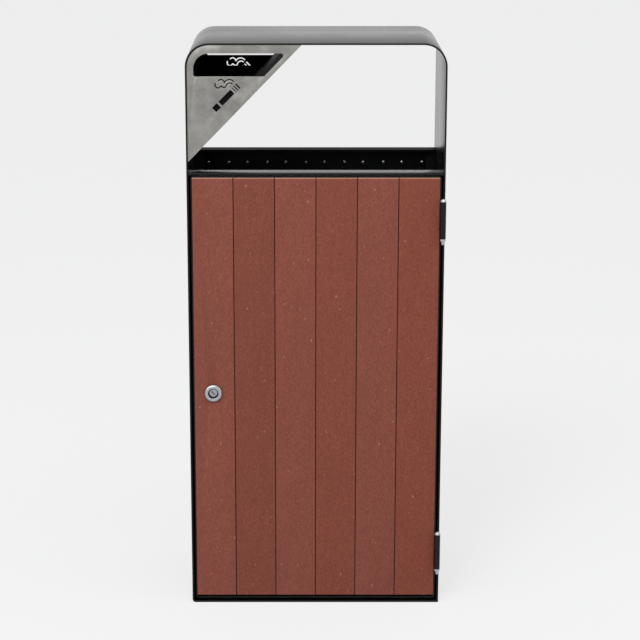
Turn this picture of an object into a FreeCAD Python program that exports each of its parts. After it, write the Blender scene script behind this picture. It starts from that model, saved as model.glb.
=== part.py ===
import FreeCAD, Part
import math
import os

# A free-standing litter bin for streets and parks.
#
# One steel strip is bent into a tall hoop that stands on its own base. The lower part is closed by
# two shallow steel trays filled with planks: the front one is the door, the rear one is fixed. The
# upper part is open from front to back, and a triangular ash unit fills its top left corner.
#
# Frame: origin at the middle of the base's underside, +Z up, +X to the right, front towards -Y.
# Sizes are in millimetres.

V = FreeCAD.Vector
X, Y, Z = V(1, 0, 0), V(0, 1, 0), V(0, 0, 1)

# Hoop
WIDTH = 440.0
DEPTH = 260.0
HEIGHT = 1000.0
HOOP_SHEET = 3.0
HOOP_TOP_RADIUS = 40.0        # outside
HOOP_FOOT_RADIUS = 5.5        # outside, left foot only: the strip's ends are welded at the right foot
ANCHOR_SPACING_X = 320.0
ANCHOR_SPACING_Y = 160.0
ANCHOR_HOLE_RADIUS = 6.5
DRAIN_OFFSET = 60.0
DRAIN_RADIUS = 5.0

# Rails and stiles
RAIL_DEPTH = 30.0
RAIL_SHEET = 4.0
STILE_LEG = 16.0
STILE_SHEET = 3.0
DOOR_STOP_GAP = 1.0           # from the closed door to the stiles behind it

# Door and rear panel
SIDE_GAP = 4.0
TOP_GAP = 1.5
FOOT_GAP = 5.5
TRAY_SHEET = 2.0
TRAY_CORNER_RADIUS = 4.0
LIP_SETBACK = 1.0             # from the hoop's edge to the tray's lip
PLANK_COUNT = 6
PLANK_THICKNESS = 12.0
PLANK_GAP = 1.3
PLANK_SIDE_FIT = 0.1
PLANK_TOP_FIT = 0.5
PLANK_FOOT_FIT = 3.0
PLANK_BEVEL = 0.8
PLANK_END_BEVEL = 1.5

# Plank screws
SCREW_SIDE_MARGIN = 16.1      # from the plank's side edges
SCREW_EDGE = 20.0             # from the tray's top and foot edges
SCREW_HEAD_RADIUS = 4.0
SCREW_HEAD_HEIGHT = 2.4
SCREW_HEAD_RIM = 0.7          # straight part of the head, under its dome
SCREW_SHANK_RADIUS = 2.0
SCREW_GRIP = 8.0              # length in the plank
PILOT_FIT = 0.05
SCREW_HOLE_FIT = 0.25

# Door hinges
KNUCKLE_RADIUS = 5.0
HINGE_STANDOFF = 0.3          # from the knuckles to the hoop's edge
HINGE_AXIS_INSET = 3.5        # from the hoop's outer side
HINGE_BOLT_RADIUS = 2.5
HINGE_BORE_FIT = 0.06
DOOR_KNUCKLE_LENGTH = 30.4
POST_KNUCKLE_LENGTH = 33.4
KNUCKLE_GAP = 0.3
HINGE_TAB_SHEET = 3.0
HINGE_TOP_DROP = 75.5         # from the door's top edge to the upper hinge's middle
HINGE_FOOT_RISE = 90.0        # from the door's foot edge to the lower hinge's middle
HINGE_CAP_HEIGHT = 5.4
HINGE_CAP_RIM = 1.9           # straight part of the cap, under its dome
HINGE_NUT_HEIGHT = 6.0
HINGE_NUT_RIM = 2.1           # straight part of the nut, before its taper
HINGE_NUT_END_RADIUS = 3.1
HINGE_BOLT_TAIL = 11.0        # from the post knuckle's foot to the bolt's end

# Cam lock
LOCK_HEIGHT = 391.5
LOCK_INSET = 38.5             # from the hoop's inner side
LOCK_BEZEL_RADIUS = 15.5
LOCK_BEZEL_HEIGHT = 4.8
LOCK_BEZEL_RIM = 1.7          # straight part of the bezel, under its round shoulder
LOCK_SHOULDER_RADIUS = 14.4   # middle of that shoulder
LOCK_SHOULDER_HEIGHT = 3.7
LOCK_CROWN_RADIUS = 12.1      # where the shoulder meets the flat front
LOCK_RECESS_RADIUS = 8.8      # the round recess that the plug lies in
LOCK_RECESS_EASE = 0.5
LOCK_FACE_HEIGHT = 0.4        # the plug's face, in front of the door
LOCK_FACE_EASE = 0.5
LOCK_BARREL_RADIUS = 9.0
LOCK_PLUG_RADIUS = 7.5
LOCK_PLUG_FIT = 0.08
LOCK_HOLE_FIT = 0.2
LOCK_NUT_FLATS = 24.0
LOCK_NUT_HEIGHT = 4.0
KEY_SLOT_LENGTH = 9.0
KEY_SLOT_WIDTH = 1.8
KEY_SLOT_DEPTH = 5.0
KEY_SLOT_ANGLE = 45.0
CAM_SHEET = 2.5
CAM_GAP = 0.5                 # behind the stile
CAM_REACH = 30.0
CAM_WIDTH = 14.0
CAM_HEEL = 8.0
CAM_END_RADIUS = 6.3
CAM_TAIL_RADIUS = 3.0
CAM_SCREW_RADIUS = 2.0
CAM_SCREW_HEAD_RADIUS = 5.0
CAM_SCREW_HEAD_HEIGHT = 2.4
CAM_SCREW_HEAD_RIM = 1.0
CAM_SCREW_GRIP = 8.0

# Ash unit: two corner plates, and a slanted flap with a pan between them
ASH_TOP_LENGTH = 192.5        # along the hoop's top, from its inner side
ASH_SIDE_LENGTH = 198.0       # down the hoop's side, from its inner top
ASH_FOOT_GAP = 18.5           # from the plates' lower tip to the rails' tops
APERTURE_HEIGHT = HOOP_SHEET + ASH_SIDE_LENGTH + ASH_FOOT_GAP    # from the rails' tops to the hoop's top
ASH_PLATE_SHEET = 1.5
ASH_PLATE_SETBACK = 1.0
ASH_PLATE_CORNER_EASE = 1.0   # added to the hoop's inner radius
SLOT_TOP_MARGIN = 14.0
SLOT_SIDE_MARGIN = 11.0
SLOT_SLANT_MARGIN = 8.3
SLOT_HEIGHT = 38.5
SLOT_RADIUS = 3.0
SLOT_TIP_RADIUS = 4.0
REAR_CUTS_SHIFT_X = 11.0      # the rear plate's cut-outs sit a little further in than the front's
REAR_CUTS_SHIFT_Z = 4.0
SIGN_INSET = 45.5             # the sign's lower end, from the hoop's inner side
SIGN_DROP = 109.0             # and from its inner top
SIGN_ANGLE = 45.0
SMOKE_WIDTH = 2.0
FLAP_SHEET = 2.0
FLAP_INSET = 1.0              # from the plates' slanted edge
FLAP_END_GAP = 0.5            # to each plate
FLAP_TOP_GAP = 3.0
FLAP_ROD_RADIUS = 3.0
FLAP_CURL_RADIUS = 5.0
FLAP_CURL_FIT = 0.06
FLAP_CURL_SIDE_GAP = 0.5
FLAP_CURL_INSET = 27.5        # from each end of the curl to the plate beside it
FLAP_NOTCH = 12.0
FINGER_HOLE_RADIUS = 12.0
FINGER_HOLE_DROP = 26.0       # from the flap's top edge
EAR_SHEET = 3.0
EAR_RADIUS = 5.8
EAR_GAP = 2.0
ROD_CAP_RADIUS = 4.6
ROD_CAP_LENGTH = 3.0
ROD_TAIL = 4.0
CATCH_LENGTH = 18.0
CATCH_HEIGHT = 11.0
CATCH_HALF_WIDTH = 15.0
CATCH_GAP = 0.3
PAN_SHEET = 1.2
PAN_RIM_DROP = 67.0           # from the hoop's inner top
PAN_FLOOR_RISE = 31.0         # from the plates' lower tip
PAN_SIDE_GAP = 3.0
PAN_END_GAP = 2.5
PAN_FLAP_GAP = 0.3
STUD_RADIUS = 2.5
STUD_HEAD_RADIUS = 4.5
STUD_HEAD_HEIGHT = 2.0
STUD_FIT = 0.3
STUD_RISE = 110.0             # from the plates' lower tip, along the slope
STUD_HALF_SPACING = 70.0
PAN_TRAVEL = 15.0

# Liner and what it stands on
LINER_SHEET = 1.2
LINER_STILE_GAP = 4.0
LINER_RAIL_GAP = 2.0
LINER_CORNER_RADIUS = 20.0
LINER_RIM_DROP = 45.0         # below the rails' tops
LINER_BEAD = 4.0
LINER_BEAD_HEIGHT = 7.0
LINER_BEAD_ROUND = 1.8
HAND_HOLE_LENGTH = 95.0
HAND_HOLE_HEIGHT = 30.0
HAND_HOLE_RADIUS = 14.4
HAND_HOLE_DROP = 40.0         # from the rim to the top of the hole
RUNNER_HEIGHT = 20.0
RUNNER_WIDTH = 30.0
RUNNER_SHEET = 2.0
RUNNER_OFFSET = 110.0
RUNNER_END_INSET = 9.0        # from each end of a runner to the liner's wall
STOP_HEIGHT = 34.0
STOP_HALF_LENGTH = 150.0
STOP_SHEET = 2.0
STOP_GAP = 1.0                # in front of the liner's bead

# Places worked out from the sizes above
half_width = WIDTH / 2
half_depth = DEPTH / 2
inner_side = half_width - HOOP_SHEET
inner_top = HEIGHT - HOOP_SHEET
rail_top = HEIGHT - APERTURE_HEIGHT
rail_foot = rail_top - RAIL_SHEET
tray_half_width = inner_side - SIDE_GAP
tray_top = rail_foot - TOP_GAP
tray_foot = HOOP_SHEET + FOOT_GAP
tray_back = half_depth - PLANK_THICKNESS - TRAY_SHEET    # the face towards the inside of the bin
tray_floor = tray_back + TRAY_SHEET
tray_lip = half_depth - LIP_SETBACK
plank_half_span = tray_half_width - TRAY_SHEET - PLANK_SIDE_FIT
plank_width = (2 * plank_half_span - (PLANK_COUNT - 1) * PLANK_GAP) / PLANK_COUNT
plank_top = tray_top - TRAY_SHEET - PLANK_TOP_FIT
plank_foot = tray_foot + TRAY_SHEET + PLANK_FOOT_FIT
hinge_x = half_width - HINGE_AXIS_INSET
hinge_y = -(half_depth + HINGE_STANDOFF + KNUCKLE_RADIUS)
knuckle_span = DOOR_KNUCKLE_LENGTH + KNUCKLE_GAP + POST_KNUCKLE_LENGTH
hinge_middles = {"upper": tray_top - HINGE_TOP_DROP, "lower": tray_foot + HINGE_FOOT_RISE}
lock_x = -inner_side + LOCK_INSET
stile_back = tray_back - DOOR_STOP_GAP - STILE_SHEET
cam_front = -(stile_back - CAM_GAP)
slant = math.hypot(ASH_TOP_LENGTH, ASH_SIDE_LENGTH)
slope = V(ASH_TOP_LENGTH / slant, 0, ASH_SIDE_LENGTH / slant)      # up along the slanted edge
inward = V(-slope.z, 0, slope.x)                                    # from that edge into the unit
ash_tip = V(-inner_side, 0, inner_top - ASH_SIDE_LENGTH)
plate_inner = half_depth - ASH_PLATE_SETBACK - ASH_PLATE_SHEET
flap_half_depth = plate_inner - FLAP_END_GAP
curl_half = plate_inner - FLAP_CURL_INSET
rod_inset = FLAP_INSET + FLAP_CURL_RADIUS
rod_rise = (FLAP_CURL_RADIUS + FLAP_CURL_SIDE_GAP - rod_inset * inward.x) / slope.x
rod_centre = ash_tip + slope * rod_rise + inward * rod_inset
pan_inset = FLAP_INSET + FLAP_SHEET + PAN_FLAP_GAP
pan_half_depth = plate_inner - PAN_END_GAP
pan_rim = inner_top - PAN_RIM_DROP
pan_floor = ash_tip.z + PAN_FLOOR_RISE
liner_floor = HOOP_SHEET + RUNNER_HEIGHT
liner_rim = rail_top - LINER_RIM_DROP
liner_half_width = inner_side - STILE_LEG - LINER_STILE_GAP - LINER_BEAD
liner_half_depth = half_depth - RAIL_DEPTH - LINER_RAIL_GAP - LINER_BEAD
runner_half = liner_half_depth - RUNNER_END_INSET


# Building blocks

def block(low, high):
    """A box between two opposite corners."""
    size = V(*high) - V(*low)
    return Part.makeBox(size.x, size.y, size.z, V(*low))


def rod(radius, start, end):
    """A round bar between two points."""
    along = end - start
    return Part.makeCylinder(radius, along.Length, start, along)


def outline(corners, place):
    """A face inside corners of (u, v, radius), with place turning u and v into a point."""
    ends = []
    count = len(corners)
    for i, (u, v, radius) in enumerate(corners):
        here = place(u, v)
        before = place(*corners[i - 1][:2]) - here
        after = place(*corners[(i + 1) % count][:2]) - here
        before.normalize()
        after.normalize()
        half = before.getAngle(after) / 2
        reach = radius / math.tan(half)
        middle = before + after
        middle.normalize()
        bulge = here + middle * (radius / math.sin(half) - radius)
        ends.append((here + before * reach, bulge, here + after * reach, radius))
    edges = []
    for i, (start, bulge, end, radius) in enumerate(ends):
        if radius:
            edges.append(Part.Arc(start, bulge, end).toShape())
        edges.append(Part.LineSegment(end, ends[(i + 1) % count][0]).toShape())
    return Part.Face(Part.Wire(edges))


def across(corners, front, back):
    """A prism of an XZ outline between two Y places."""
    return outline(corners, lambda u, v: V(u, front, v)).extrude(V(0, back - front, 0))


def upright(corners, foot, top):
    """A prism of an XY outline between two heights."""
    return outline(corners, lambda u, v: V(u, v, foot)).extrude(V(0, 0, top - foot))


def rectangle(half_u, half_v, radius=0.0):
    """The corners of a centred rectangle."""
    return [(half_u, half_v, radius), (-half_u, half_v, radius),
            (-half_u, -half_v, radius), (half_u, -half_v, radius)]


def turned(profile, base, axis):
    """A turned piece: profile holds (radius, height) points, or two of them for an arc's middle and end."""
    side = axis.cross(X if abs(axis.x) < abs(axis.z) else Z)
    side.normalize()

    def at(point):
        return base + side * point[0] + axis * point[1]

    edges = []
    last = profile[0]
    for step in profile[1:] + profile[:1]:
        if isinstance(step[0], tuple):
            edges.append(Part.Arc(at(last), at(step[0]), at(step[1])).toShape())
            last = step[1]
        elif step != last:
            edges.append(Part.LineSegment(at(last), at(step)).toShape())
            last = step
    return Part.Face(Part.Wire(edges)).revolve(base, axis, 360)


def dome(radius, foot, crown):
    """A round cap for turned: the middle and end of its arc, from (radius, foot) to the axis at crown."""
    height = abs(crown - foot)
    ball = (radius ** 2 + height ** 2) / (2 * height)
    half = math.asin(min(1.0, radius / ball)) / 2
    drop = ball * (1 - math.cos(half))
    return (ball * math.sin(half), crown - math.copysign(drop, crown - foot)), (0, crown)


def mirrored(shape):
    """The same shape on the other side of the YZ plane."""
    return shape.mirror(V(0, 0, 0), X)


def to_rear(shape):
    """The same shape turned half a turn about Z, from the front to the rear."""
    return shape.copy().rotated(V(0, 0, 0), Z, 180)


# Frame

def hoop_corners(inset):
    """The hoop's outline, moved inwards by inset."""
    side, top, foot = half_width - inset, HEIGHT - inset, inset
    bend = HOOP_TOP_RADIUS - inset
    return [(side, foot, 0), (side, top, bend), (-side, top, bend), (-side, foot, HOOP_FOOT_RADIUS - inset)]


def make_hoop():
    """The bent strip with its base, anchor holes and drains."""
    hoop = across(hoop_corners(0), -half_depth, half_depth)
    hoop = hoop.cut(across(hoop_corners(HOOP_SHEET), -half_depth, half_depth))
    holes = [(sx * ANCHOR_SPACING_X / 2, sy * ANCHOR_SPACING_Y / 2, ANCHOR_HOLE_RADIUS)
             for sx in (-1, 1) for sy in (-1, 1)]
    holes += [(sx * DRAIN_OFFSET, 0, DRAIN_RADIUS) for sx in (-1, 1)]
    for x, y, radius in holes:
        hoop = hoop.cut(rod(radius, V(x, y, 0), V(x, y, HOOP_SHEET)))
    return hoop


def make_front_rail():
    """The flat bar over the door."""
    return block((-inner_side, -half_depth, rail_foot), (inner_side, RAIL_DEPTH - half_depth, rail_top))


def make_stile(face):
    """The right-hand angle behind a tray, with its face leg's outer face at distance face from the middle."""
    inner = face - STILE_SHEET
    leg = block((inner_side - STILE_LEG, inner, HOOP_FOOT_RADIUS), (inner_side, face, rail_foot))
    wing = block((inner_side - STILE_SHEET, face - STILE_LEG, HOOP_FOOT_RADIUS),
                 (inner_side, inner, rail_foot))
    return leg.fuse(wing).removeSplitter()


# Door and rear panel, both made as the rear one and turned for the door

def plank_middles():
    """The planks' middles, from left to right."""
    pitch = plank_width + PLANK_GAP
    return [(i - (PLANK_COUNT - 1) / 2) * pitch for i in range(PLANK_COUNT)]


def screw_places():
    """The plank screws' X and Z places."""
    rows = (tray_foot + SCREW_EDGE, tray_top - SCREW_EDGE)
    reach = plank_width / 2 - SCREW_SIDE_MARGIN
    return [(x + side * reach, z) for z in rows for x in plank_middles() for side in (-1, 1)]


def make_tray():
    """A shallow tray that holds the planks, with its screw holes."""
    middle = (tray_top + tray_foot) / 2
    tall = (tray_top - tray_foot) / 2

    def corners(inset, radius):
        return [(u, v + middle, r) for u, v, r in rectangle(tray_half_width - inset, tall - inset, radius)]

    tray = across(corners(0, TRAY_CORNER_RADIUS), tray_back, tray_lip)
    tray = tray.cut(across(corners(TRAY_SHEET, 0), tray_floor, tray_lip))
    radius = SCREW_SHANK_RADIUS + SCREW_HOLE_FIT
    holes = [rod(radius, V(x, tray_back, z), V(x, tray_floor, z)) for x, z in screw_places()]
    return tray.cut(Part.makeCompound(holes))


def make_plank(middle):
    """One plank with bevelled front edges and pilot holes for its screws."""
    half = plank_width / 2
    low = (middle - half, tray_floor, plank_foot)
    high = (middle + half, half_depth, plank_top)
    plank = block(low, high)
    sides = [e.BoundBox.ZLength > e.BoundBox.XLength for e in plank.Edges]
    plank = plank.makeChamfer(PLANK_BEVEL, [e for e, side in zip(plank.Edges, sides)
                                            if side and e.BoundBox.YMin > half_depth - PLANK_BEVEL])
    plank = plank.makeChamfer(PLANK_END_BEVEL, [e for e in plank.Edges
                                                if e.BoundBox.YMin > half_depth - PLANK_BEVEL / 2
                                                and e.BoundBox.XLength > e.BoundBox.ZLength])
    radius = SCREW_SHANK_RADIUS + PILOT_FIT
    tip = tray_floor + SCREW_GRIP
    for x, z in screw_places():
        if abs(x - middle) < half:
            plank = plank.cut(rod(radius, V(x, tray_floor, z), V(x, tip, z)))
    return plank


def make_plank_screws():
    """The dome-head screws that hold the planks, driven from inside the bin."""
    length = TRAY_SHEET + SCREW_GRIP
    profile = [(0, -length), (SCREW_SHANK_RADIUS, -length), (SCREW_SHANK_RADIUS, 0), (SCREW_HEAD_RADIUS, 0),
               (SCREW_HEAD_RADIUS, SCREW_HEAD_RIM),
               dome(SCREW_HEAD_RADIUS, SCREW_HEAD_RIM, SCREW_HEAD_HEIGHT)]
    screws = [turned(profile, V(x, tray_back, z), -Y) for x, z in screw_places()]
    return Part.makeCompound(screws)


def lock_hole():
    """What the lock's barrel takes out of the door's tray and plank."""
    return rod(LOCK_BARREL_RADIUS + LOCK_HOLE_FIT, V(lock_x, -half_depth, LOCK_HEIGHT),
               V(lock_x, -tray_back, LOCK_HEIGHT))


# Hinges

def make_knuckle(foot, length, tab_low, tab_high):
    """A hinge knuckle with its weld tab between two XY corners."""
    body = rod(KNUCKLE_RADIUS, V(hinge_x, hinge_y, foot), V(hinge_x, hinge_y, foot + length))
    body = body.fuse(block((*tab_low, foot), (*tab_high, foot + length))).removeSplitter()
    return body.cut(rod(HINGE_BOLT_RADIUS + HINGE_BORE_FIT, V(hinge_x, hinge_y, foot),
                        V(hinge_x, hinge_y, foot + length)))


def make_hinge(middle):
    """The post and door knuckles, bolt and nut of one hinge, as a dictionary."""
    foot = middle - knuckle_span / 2
    door_foot = foot + POST_KNUCKLE_LENGTH + KNUCKLE_GAP
    top = door_foot + DOOR_KNUCKLE_LENGTH
    tab_front = -half_depth - HINGE_TAB_SHEET
    lip_inside = tray_half_width - TRAY_SHEET
    post = make_knuckle(foot, POST_KNUCKLE_LENGTH, (inner_side, tab_front), (half_width, -half_depth))
    door = make_knuckle(door_foot, DOOR_KNUCKLE_LENGTH, (lip_inside, tab_front),
                        (tray_half_width + TRAY_SHEET, -tray_lip))
    seat = top + KNUCKLE_GAP
    cap = seat - foot
    rim = cap + HINGE_CAP_RIM
    tip = HINGE_BOLT_RADIUS - HINGE_BOLT_TAIL
    round_tip = dome(HINGE_BOLT_RADIUS, tip, -HINGE_BOLT_TAIL)[0]
    profile = [(0, -HINGE_BOLT_TAIL), (round_tip, (HINGE_BOLT_RADIUS, tip)), (HINGE_BOLT_RADIUS, cap),
               (KNUCKLE_RADIUS, cap), (KNUCKLE_RADIUS, rim),
               dome(KNUCKLE_RADIUS, rim, cap + HINGE_CAP_HEIGHT)]
    bolt = turned(profile, V(hinge_x, hinge_y, foot), Z)
    bore = HINGE_BOLT_RADIUS + HINGE_BORE_FIT
    nut = turned([(bore, 0), (KNUCKLE_RADIUS, 0), (KNUCKLE_RADIUS, HINGE_NUT_RIM),
                  (HINGE_NUT_END_RADIUS, HINGE_NUT_HEIGHT), (bore, HINGE_NUT_HEIGHT)],
                 V(hinge_x, hinge_y, foot), -Z)
    return {"post": post, "door_knuckle": door, "bolt": bolt, "nut": nut}


# Lock

def make_lock_body():
    """The bezel and threaded barrel that hold the lock in the door."""
    bore = LOCK_PLUG_RADIUS + LOCK_PLUG_FIT
    back = CAM_GAP - (half_depth + cam_front)
    shoulder = (LOCK_SHOULDER_RADIUS, LOCK_SHOULDER_HEIGHT)
    crown = (LOCK_CROWN_RADIUS, LOCK_BEZEL_HEIGHT)
    profile = [(bore, back), (LOCK_BARREL_RADIUS, back), (LOCK_BARREL_RADIUS, 0), (LOCK_BEZEL_RADIUS, 0),
               (LOCK_BEZEL_RADIUS, LOCK_BEZEL_RIM), (shoulder, crown),
               (LOCK_RECESS_RADIUS + LOCK_RECESS_EASE, LOCK_BEZEL_HEIGHT),
               (LOCK_RECESS_RADIUS, LOCK_BEZEL_HEIGHT - LOCK_RECESS_EASE),
               (LOCK_RECESS_RADIUS, LOCK_FACE_HEIGHT), (bore, LOCK_FACE_HEIGHT)]
    return turned(profile, V(lock_x, -half_depth, LOCK_HEIGHT), -Y)


def make_lock_nut():
    """The hexagon nut behind the door's tray."""
    reach = LOCK_NUT_FLATS / math.sqrt(3)
    angles = [math.radians(60 * i) for i in range(6)]
    corners = [(lock_x + reach * math.cos(a), LOCK_HEIGHT + reach * math.sin(a), 0) for a in angles]
    nut = across(corners, -tray_back, LOCK_NUT_HEIGHT - tray_back)
    return nut.cut(rod(LOCK_BARREL_RADIUS + PILOT_FIT, V(lock_x, -tray_back, LOCK_HEIGHT),
                       V(lock_x, LOCK_NUT_HEIGHT - tray_back, LOCK_HEIGHT)))


def make_lock_plug():
    """The plug that the key turns, with its tail through the cam."""
    front = LOCK_FACE_HEIGHT
    seat = -(half_depth + cam_front)
    tail = seat - CAM_SHEET
    profile = [(0, tail), (CAM_TAIL_RADIUS, tail), (CAM_TAIL_RADIUS, seat), (LOCK_PLUG_RADIUS, seat),
               (LOCK_PLUG_RADIUS, front - LOCK_FACE_EASE), (LOCK_PLUG_RADIUS - LOCK_FACE_EASE, front),
               (0, front)]
    plug = turned(profile, V(lock_x, -half_depth, LOCK_HEIGHT), -Y)
    face = -half_depth - front
    slot = block((lock_x - KEY_SLOT_LENGTH / 2, face, LOCK_HEIGHT - KEY_SLOT_WIDTH / 2),
                 (lock_x + KEY_SLOT_LENGTH / 2, face + KEY_SLOT_DEPTH, LOCK_HEIGHT + KEY_SLOT_WIDTH / 2))
    slot.rotate(V(lock_x, 0, LOCK_HEIGHT), Y, KEY_SLOT_ANGLE)
    end = V(lock_x, cam_front + CAM_SHEET, LOCK_HEIGHT)
    return plug.cut(slot).cut(rod(CAM_SCREW_RADIUS + PILOT_FIT, end, end - Y * CAM_SCREW_GRIP))


def make_lock_cam():
    """The flat cam, hanging straight down where the lock is open."""
    left, right = lock_x - CAM_WIDTH / 2, lock_x + CAM_WIDTH / 2
    top, tip = LOCK_HEIGHT + CAM_HEEL, LOCK_HEIGHT - CAM_REACH
    corners = [(x, z, CAM_END_RADIUS) for x, z in ((right, top), (left, top), (left, tip), (right, tip))]
    cam = across(corners, cam_front, cam_front + CAM_SHEET)
    start = V(lock_x, cam_front, LOCK_HEIGHT)
    return cam.cut(rod(CAM_TAIL_RADIUS + PILOT_FIT, start, start + Y * CAM_SHEET))


def make_lock_cam_screw():
    """The screw that holds the cam on the plug."""
    profile = [(0, -CAM_SCREW_GRIP), (CAM_SCREW_RADIUS, -CAM_SCREW_GRIP), (CAM_SCREW_RADIUS, 0),
               (CAM_SCREW_HEAD_RADIUS, 0), (CAM_SCREW_HEAD_RADIUS, CAM_SCREW_HEAD_RIM),
               dome(CAM_SCREW_HEAD_RADIUS, CAM_SCREW_HEAD_RIM, CAM_SCREW_HEAD_HEIGHT)]
    return turned(profile, V(lock_x, cam_front + CAM_SHEET, LOCK_HEIGHT), Y)


# Ash unit

def slanted_point(rise, inset):
    """A point at a distance up the slanted edge and inwards from it."""
    return ash_tip + slope * rise + inward * inset


def slant_at_height(z, inset):
    """X where the line at inset from the slanted edge crosses a height."""
    start = slanted_point(0, inset)
    return start.x + (z - start.z) * slope.x / slope.z


def arc_band(first, middle, last, width):
    """A bent stroke of even width along the arc through three (u, v) points."""
    flat = [V(*p, 0) for p in (first, middle, last)]
    circle = Part.Arc(*flat).toShape().Curve
    centre = circle.Center
    edges = []
    for side, ends in ((1, flat), (-1, flat[::-1])):
        radius = circle.Radius + side * width / 2
        points = [centre + (p - centre).normalize() * radius for p in ends]
        edges.append(Part.Arc(*points).toShape())
    joins = [Part.LineSegment(one.lastVertex().Point, other.firstVertex().Point).toShape()
             for one, other in (edges, edges[::-1])]
    return Part.Face(Part.Wire([edges[0], joins[0], edges[1], joins[1]]))


def sign_faces():
    """The smoking sign, flat in XY: u runs from the filter along the cigarette and v across it."""
    strips = [(0.0, 11.3, 5.1), (15.0, 43.8, 4.8), (47.1, 48.4, 5.5), (51.2, 53.0, 5.3), (55.6, 57.9, 5.3)]
    faces = [outline([(start, -half, 0), (end, -half, 0), (end, half, 0), (start, half, 0)],
                     lambda u, v: V(u, v, 0)) for start, end, half in strips]
    upper = [((39.5, 29.5), (44.5, 28.0), (44.5, 19.8)), ((44.5, 19.8), (54.2, 18.2), (57.3, 9.5))]
    lower = [((34.0, 30.2), (30.0, 26.4), (32.0, 20.5)), ((32.0, 20.5), (35.0, 20.2), (37.8, 20.4)),
             ((37.8, 20.4), (38.4, 15.2), (42.4, 13.6)), ((42.4, 13.6), (49.5, 14.4), (52.9, 8.6))]
    return faces + [arc_band(*points, SMOKE_WIDTH) for points in upper + lower]


def plate_cuts():
    """The hand-in slot and the sign, as solids through the front plate."""
    left = -inner_side + SLOT_SIDE_MARGIN
    top = inner_top - SLOT_TOP_MARGIN
    foot = top - SLOT_HEIGHT
    corner = HOOP_TOP_RADIUS - HOOP_SHEET - SLOT_SIDE_MARGIN
    corners = [(slant_at_height(foot, SLOT_SLANT_MARGIN), foot, SLOT_RADIUS),
               (slant_at_height(top, SLOT_SLANT_MARGIN), top, SLOT_TIP_RADIUS),
               (left, top, corner), (left, foot, SLOT_RADIUS)]
    front, back = -half_depth, -plate_inner
    cuts = [across(corners, front, back)]
    for face in sign_faces():
        sign = face.extrude(Z * (back - front))
        sign.rotate(V(0, 0, 0), Z, SIGN_ANGLE)
        sign.rotate(V(0, 0, 0), X, 90)
        sign.translate(V(SIGN_INSET - inner_side, back, inner_top - SIGN_DROP))
        cuts.append(sign)
    return cuts


def make_ash_plate(rear):
    """A triangular corner plate with its slot and sign."""
    corner = HOOP_TOP_RADIUS - HOOP_SHEET + ASH_PLATE_CORNER_EASE
    corners = [(ash_tip.x, ash_tip.z, 0), (ash_tip.x + ASH_TOP_LENGTH, inner_top, 0),
               (ash_tip.x, inner_top, corner)]
    plate = across(corners, -plate_inner - ASH_PLATE_SHEET, -plate_inner)
    cuts = Part.makeCompound(plate_cuts())
    if rear:
        away = V(0, 2 * plate_inner + ASH_PLATE_SHEET, 0)
        plate.translate(away)
        cuts.translate(away + V(REAR_CUTS_SHIFT_X, 0, REAR_CUTS_SHIFT_Z))
    return plate.cut(cuts)


def slanted_sheet(low, high, thickness, inset, half_depth_y):
    """A flat sheet along the slope between two rises."""
    points = [slanted_point(low, inset), slanted_point(high, inset),
              slanted_point(high, inset + thickness), slanted_point(low, inset + thickness)]
    return across([(p.x, p.z, 0) for p in points], -half_depth_y, half_depth_y)


def make_ash_flap():
    """The slanted wall of the ash unit, curled round its rod at the foot, with a finger hole."""
    top = (inner_top - FLAP_TOP_GAP - slanted_point(0, FLAP_INSET + FLAP_SHEET).z) / slope.z
    narrow = slanted_sheet(rod_rise, rod_rise + FLAP_NOTCH, FLAP_SHEET, FLAP_INSET, curl_half)
    wide = slanted_sheet(rod_rise + FLAP_NOTCH, top, FLAP_SHEET, FLAP_INSET, flap_half_depth)
    ends = rod_centre - Y * curl_half, rod_centre + Y * curl_half
    flap = rod(FLAP_CURL_RADIUS, *ends).fuse([narrow, wide]).removeSplitter()
    flap = flap.cut(rod(FLAP_ROD_RADIUS + FLAP_CURL_FIT, *ends))
    rise = top - FINGER_HOLE_DROP
    return flap.cut(rod(FINGER_HOLE_RADIUS, slanted_point(rise, 0), slanted_point(rise, pan_inset)))


def make_ash_hinge_ears():
    """The two ears on the hoop's side that carry the flap's rod."""
    ears = []
    for side in (-1, 1):
        near = side * (curl_half + EAR_GAP)
        far = near + side * EAR_SHEET
        ends = V(rod_centre.x, near, rod_centre.z), V(rod_centre.x, far, rod_centre.z)
        web = block((-inner_side, min(near, far), rod_centre.z - EAR_RADIUS),
                    (rod_centre.x, max(near, far), rod_centre.z + EAR_RADIUS))
        outside = block((-half_width, min(near, far), 0), (-inner_side, max(near, far), HEIGHT))
        ear = rod(EAR_RADIUS, *ends).fuse(web).removeSplitter()
        ears.append(ear.cut(rod(FLAP_ROD_RADIUS + PILOT_FIT, *ends)).cut(outside))
    return Part.makeCompound(ears)


def rod_end():
    """How far the flap's rod reaches from the middle."""
    return curl_half + EAR_GAP + EAR_SHEET + ROD_TAIL


def make_ash_hinge_rod():
    """The rod that the flap turns on."""
    return rod(FLAP_ROD_RADIUS, rod_centre - Y * rod_end(), rod_centre + Y * rod_end())


def make_ash_rod_caps():
    """The push-on caps that keep the rod in its ears."""
    caps = []
    for side in (-1, 1):
        start = rod_centre + Y * side * (rod_end() - ROD_TAIL)
        cap = rod(ROD_CAP_RADIUS, start, start + Y * side * (ROD_TAIL + ROD_CAP_LENGTH / 2))
        caps.append(cap.cut(rod(FLAP_ROD_RADIUS + PILOT_FIT, start, start + Y * side * ROD_TAIL)))
    return Part.makeCompound(caps)


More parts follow.
